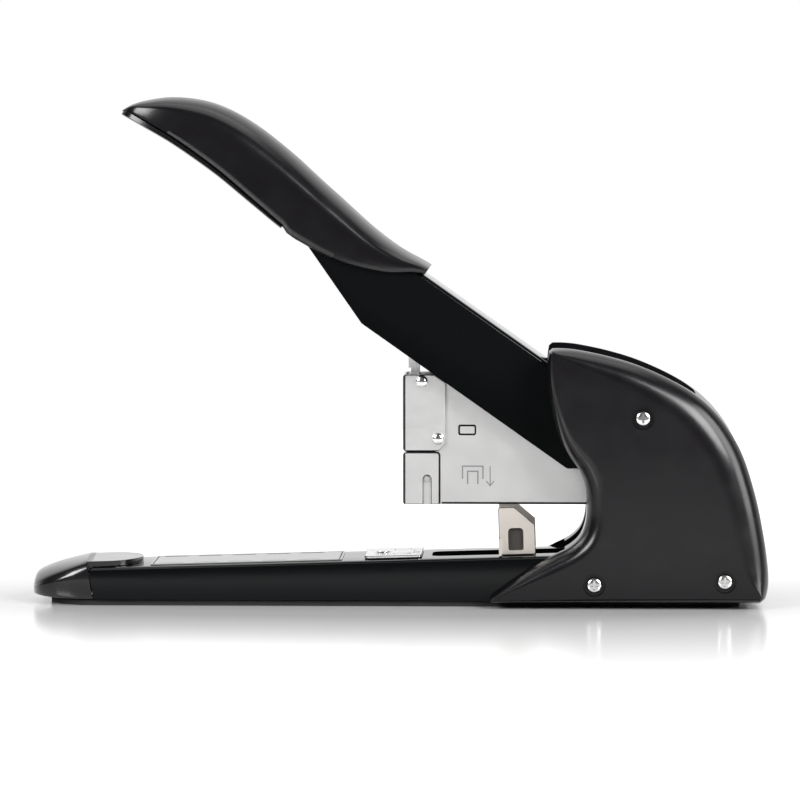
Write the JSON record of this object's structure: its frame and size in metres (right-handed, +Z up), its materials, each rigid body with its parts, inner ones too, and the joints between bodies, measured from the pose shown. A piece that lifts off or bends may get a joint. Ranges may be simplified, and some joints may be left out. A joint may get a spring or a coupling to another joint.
{
  "type": "long reach stapler",
  "caption": "Heavy-duty lever stapler with a swinging staple head, sliding depth stop, spring-fed magazine, two-piece rear cover and padded base.",
  "frame": {"origin": "centre of the footprint, on the desk surface under the rubber pad", "axes": "+X from the nose towards the rear covers, +Z up, +Y to the right-hand cover; the handle is raised at rest"},
  "size_m": [0.288, 0.066, 0.1981],
  "materials": {
    "cover_plastic": "satin black moulded plastic",
    "matte_plastic": "matte black moulded plastic",
    "black_paint": "satin black paint on folded steel sheet",
    "nickel": "satin nickel plate",
    "warm_nickel": "satin warm nickel plate",
    "zinc": "bright zinc plate",
    "chrome": "polished chrome plate",
    "steel": "plain oiled steel",
    "rubber": "matte black rubber",
    "label": "printed grey panel"
  },
  "bodies": {
    "base": {"base_channel": "black_paint", "rubber_pad": "rubber", "nose_cap": "cover_plastic", "anvil_plate": "chrome", "anvil_rivet": "chrome", "scale_label": "label", "rear_frame": "steel", "frame_rivet_1": "zinc", "frame_rivet_2": "zinc", "frame_rivet_3": "zinc", "frame_rivet_4": "zinc", "handle_pivot_pin": "zinc", "head_pivot_pin": "zinc", "pivot_spacer_left": "matte_plastic", "pivot_spacer_right": "matte_plastic", "spacer_upper": "zinc", "spacer_front": "zinc", "spacer_rear": "zinc", "left_cover": "cover_plastic", "right_cover": "cover_plastic", "screw_left_upper": "zinc", "screw_left_front": "zinc", "screw_left_rear": "zinc", "screw_right_upper": "zinc", "screw_right_front": "zinc", "screw_right_rear": "zinc", "head_return_spring": "steel"},
    "handle": {"handle_arm": "black_paint", "grip_shell": "cover_plastic", "grip_insert": "matte_plastic", "grip_screw_1": "zinc", "grip_screw_2": "zinc", "press_cam": "steel", "handle_spring": "steel"},
    "head": {"magazine_housing": "nickel", "nose_block": "nickel", "nose_pin_left": "zinc", "nose_pin_right": "zinc", "magazine_rail": "nickel", "pusher_rod": "steel", "pusher_spring": "steel", "front_plate": "nickel", "front_rivet_upper_left": "zinc", "front_rivet_upper_right": "zinc", "front_rivet_lower_left": "zinc", "front_rivet_lower_right": "zinc"},
    "plunger": {"plunger_post": "chrome", "driver_blade": "steel", "blade_rivet": "zinc"},
    "pusher": {"staple_pusher": "steel"},
    "depth_stop": {"depth_stop": "warm_nickel", "stop_slider": "matte_plastic", "stop_shoe": "matte_plastic"}
  },
  "joints": [
    {"name": "handle_hinge", "type": "hinge", "parent": "base", "child": "handle", "pos_m": [0.09, 0, 0.06], "axis": [0, -1, 0], "range_deg": [0, 24], "stiffness_Nm_per_rad": 1.2, "springref_deg": -34.38},
    {"name": "head_hinge", "type": "hinge", "parent": "base", "child": "head", "pos_m": [0.118, 0, 0.05], "axis": [0, -1, 0], "range_deg": [0, 9.5], "stiffness_Nm_per_rad": 0.6, "springref_deg": -28.65, "deforming": ["head_return_spring"]},
    {"name": "plunger_slide", "type": "slide", "parent": "head", "child": "plunger", "axis": [0, 0, -1], "range_m": [0, 0.021]},
    {"name": "pusher_slide", "type": "slide", "parent": "head", "child": "pusher", "axis": [1, 0, 0], "range_m": [0, 0.05], "stiffness_N_per_m": 20, "springref_m": -0.05, "deforming": ["pusher_spring"]},
    {"name": "stop_slide", "type": "slide", "parent": "base", "child": "depth_stop", "axis": [0.9996, 0, 0.0292], "range_m": [-0.012, 0.011]}
  ],
  "couplings": [
    {"joint": "head_hinge", "follows": "handle_hinge", "ratio": 0.3958},
    {"joint": "plunger_slide", "follows": "handle_hinge", "m_per_rad": 0.0501}
  ]
}
